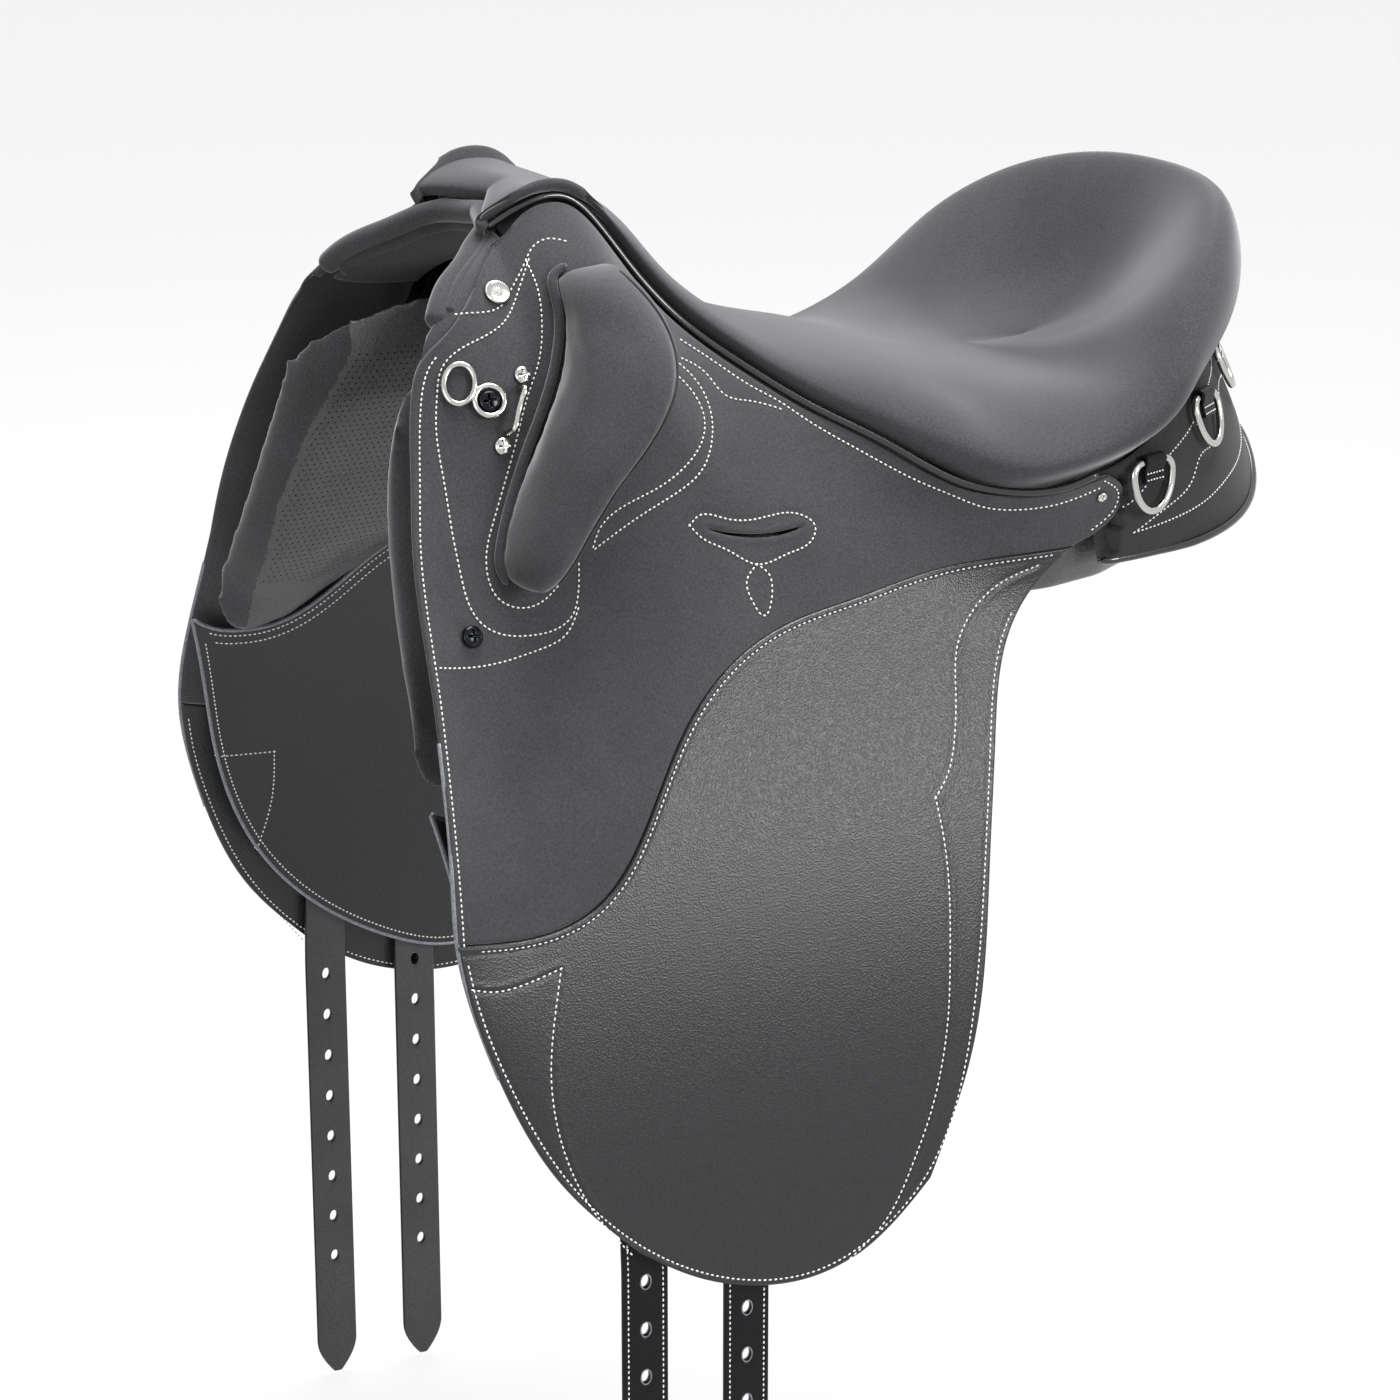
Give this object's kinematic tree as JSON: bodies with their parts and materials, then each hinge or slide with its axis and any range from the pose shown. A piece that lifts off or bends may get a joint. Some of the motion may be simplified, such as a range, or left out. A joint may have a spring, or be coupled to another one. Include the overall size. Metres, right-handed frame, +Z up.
{
  "type": "stock saddle",
  "caption": "Stock saddle in black suede-look and smooth leather, with hinged flaps, knee pads, swinging girth straps, perforated panels and steel dees.",
  "frame": {"origin": "on the centreline at the level of the horse's back under the seat", "axes": "+Z up, the horse faces -X, the saddle's left side is at -Y"},
  "size_m": [0.547, 0.47, 0.7777],
  "materials": {
    "suede": "napped synthetic suede, charcoal",
    "smooth_leather": "smooth black leather, low sheen",
    "perforated_leather": "perforated black leather",
    "piping": "glossy black piping",
    "foam": "soft seat foam",
    "tree_plastic": "moulded black plastic",
    "steel": "polished steel",
    "black_steel": "black finished steel"
  },
  "bodies": {
    "saddle": {"arch_lining": "suede", "arch_roll": "suede", "badge_left": "steel", "badge_right": "steel", "bar_screw_lower_left": "steel", "bar_screw_lower_right": "steel", "bar_screw_upper_left": "steel", "bar_screw_upper_right": "steel", "dee_keeper_middle_left": "smooth_leather", "dee_keeper_middle_right": "smooth_leather", "dee_keeper_rear_left": "smooth_leather", "dee_keeper_rear_right": "smooth_leather", "dee_keeper_side_left": "smooth_leather", "dee_keeper_side_right": "smooth_leather", "gullet_plate": "steel", "knee_pad_left": "suede", "knee_pad_right": "suede", "oval_dee_left": "steel", "oval_dee_right": "steel", "oval_screw_left": "black_steel", "oval_screw_right": "black_steel", "panel_left": "perforated_leather", "panel_right": "perforated_leather", "panel_screw_left": "black_steel", "panel_screw_right": "black_steel", "rear_facing": "smooth_leather", "rear_screw_left": "steel", "rear_screw_right": "steel", "seat_cover": "suede", "seat_foam": "foam", "skirt_left": "suede", "skirt_right": "suede", "stirrup_bar_left": "steel", "stirrup_bar_right": "steel", "strap_bar_left": "steel", "strap_bar_right": "steel", "strap_hanger_left": "smooth_leather", "strap_hanger_right": "smooth_leather", "sweat_flap_left": "smooth_leather", "sweat_flap_right": "smooth_leather", "tree": "tree_plastic", "welt_left": "piping", "welt_right": "piping"},
    "flap_left": {"flap_suede_left": "suede", "flap_leather_left": "smooth_leather"},
    "girth_strap_front_left": {"girth_strap_front_left": "smooth_leather"},
    "girth_strap_rear_left": {"girth_strap_rear_left": "smooth_leather"},
    "rear_dee_side_left": {"rear_dee_side_left": "steel"},
    "rear_dee_middle_left": {"rear_dee_middle_left": "steel"},
    "rear_dee_rear_left": {"rear_dee_rear_left": "steel"},
    "flap_right": {"flap_suede_right": "suede", "flap_leather_right": "smooth_leather"},
    "girth_strap_front_right": {"girth_strap_front_right": "smooth_leather"},
    "girth_strap_rear_right": {"girth_strap_rear_right": "smooth_leather"},
    "rear_dee_side_right": {"rear_dee_side_right": "steel"},
    "rear_dee_middle_right": {"rear_dee_middle_right": "steel"},
    "rear_dee_rear_right": {"rear_dee_rear_right": "steel"}
  },
  "joints": [
    {"name": "flap_lift_left", "type": "hinge", "parent": "saddle", "child": "flap_left", "pos_m": [-0.279, -0.16482, -0.01], "axis": [-0.9955, -0.0297, -0.0899], "range_deg": [0, 70]},
    {"name": "strap_swing_front_left", "type": "hinge", "parent": "saddle", "child": "girth_strap_front_left", "pos_m": [-0.198, -0.13182, 0.02], "axis": [0, 1, 0], "range_deg": [-1.2, 5.5]},
    {"name": "strap_swing_rear_left", "type": "hinge", "parent": "saddle", "child": "girth_strap_rear_left", "pos_m": [-0.142, -0.13182, 0.02], "axis": [0, 1, 0], "range_deg": [-5.5, 1.2]},
    {"name": "dee_swing_side_left", "type": "hinge", "parent": "saddle", "child": "rear_dee_side_left", "pos_m": [0.12142, -0.15913, 0.06056], "axis": [-0.9483, -0.3175, 0], "range_deg": [0, 100]},
    {"name": "dee_swing_middle_left", "type": "hinge", "parent": "saddle", "child": "rear_dee_middle_left", "pos_m": [0.16912, -0.13106, 0.08391], "axis": [-0.806, -0.592, 0], "range_deg": [0, 100]},
    {"name": "dee_swing_rear_left", "type": "hinge", "parent": "saddle", "child": "rear_dee_rear_left", "pos_m": [0.20382, -0.08413, 0.09976], "axis": [-0.5244, -0.8515, 0], "range_deg": [0, 100]},
    {"name": "flap_lift_right", "type": "hinge", "parent": "saddle", "child": "flap_right", "pos_m": [-0.279, 0.16482, -0.01], "axis": [0.9955, -0.0297, 0.0899], "range_deg": [0, 70]},
    {"name": "strap_swing_front_right", "type": "hinge", "parent": "saddle", "child": "girth_strap_front_right", "pos_m": [-0.198, 0.13182, 0.02], "axis": [0, 1, 0], "range_deg": [-1.2, 5.5]},
    {"name": "strap_swing_rear_right", "type": "hinge", "parent": "saddle", "child": "girth_strap_rear_right", "pos_m": [-0.142, 0.13182, 0.02], "axis": [0, 1, 0], "range_deg": [-5.5, 1.2]},
    {"name": "dee_swing_side_right", "type": "hinge", "parent": "saddle", "child": "rear_dee_side_right", "pos_m": [0.12142, 0.15913, 0.06056], "axis": [0.9483, -0.3175, 0], "range_deg": [0, 100]},
    {"name": "dee_swing_middle_right", "type": "hinge", "parent": "saddle", "child": "rear_dee_middle_right", "pos_m": [0.16912, 0.13106, 0.08391], "axis": [0.806, -0.592, 0], "range_deg": [0, 100]},
    {"name": "dee_swing_rear_right", "type": "hinge", "parent": "saddle", "child": "rear_dee_rear_right", "pos_m": [0.20382, 0.08413, 0.09976], "axis": [0.5244, -0.8515, 0], "range_deg": [0, 100]}
  ]
}
